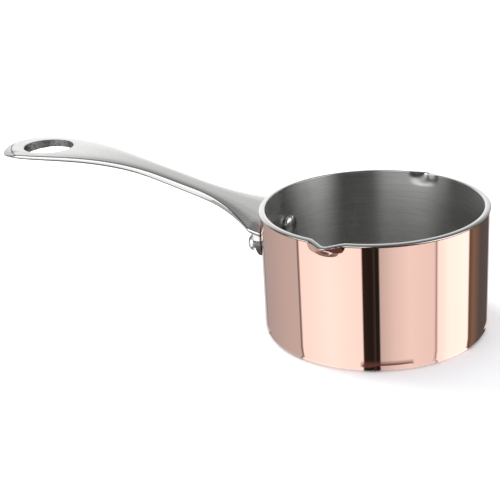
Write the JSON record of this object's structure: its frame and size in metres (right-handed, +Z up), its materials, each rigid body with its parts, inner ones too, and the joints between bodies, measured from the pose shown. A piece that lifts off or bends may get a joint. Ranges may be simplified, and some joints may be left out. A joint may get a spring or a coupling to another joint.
{
  "type": "small saucepan",
  "caption": "Small copper saucepan with a stainless lining, pouring spouts pressed into its rim, and a long cast steel handle with a hanging eye, riveted on.",
  "frame": {"origin": "centre of the flat underside of the base, on the pot's axis", "axes": "+Z up along the pot's axis, handle along -X, pouring spouts near -Y and +Y"},
  "size_m": [0.2164, 0.0955, 0.064],
  "materials": {
    "copper": "mirror polished copper",
    "lining": "brushed round the wall, bright rolled lip",
    "handle": "satin casting with polished sides",
    "rivets": "polished"
  },
  "bodies": {
    "root": {"copper_shell": "copper", "steel_lining": "lining", "handle": "handle", "rivet_left": "rivets", "rivet_right": "rivets"}
  },
  "joints": []
}
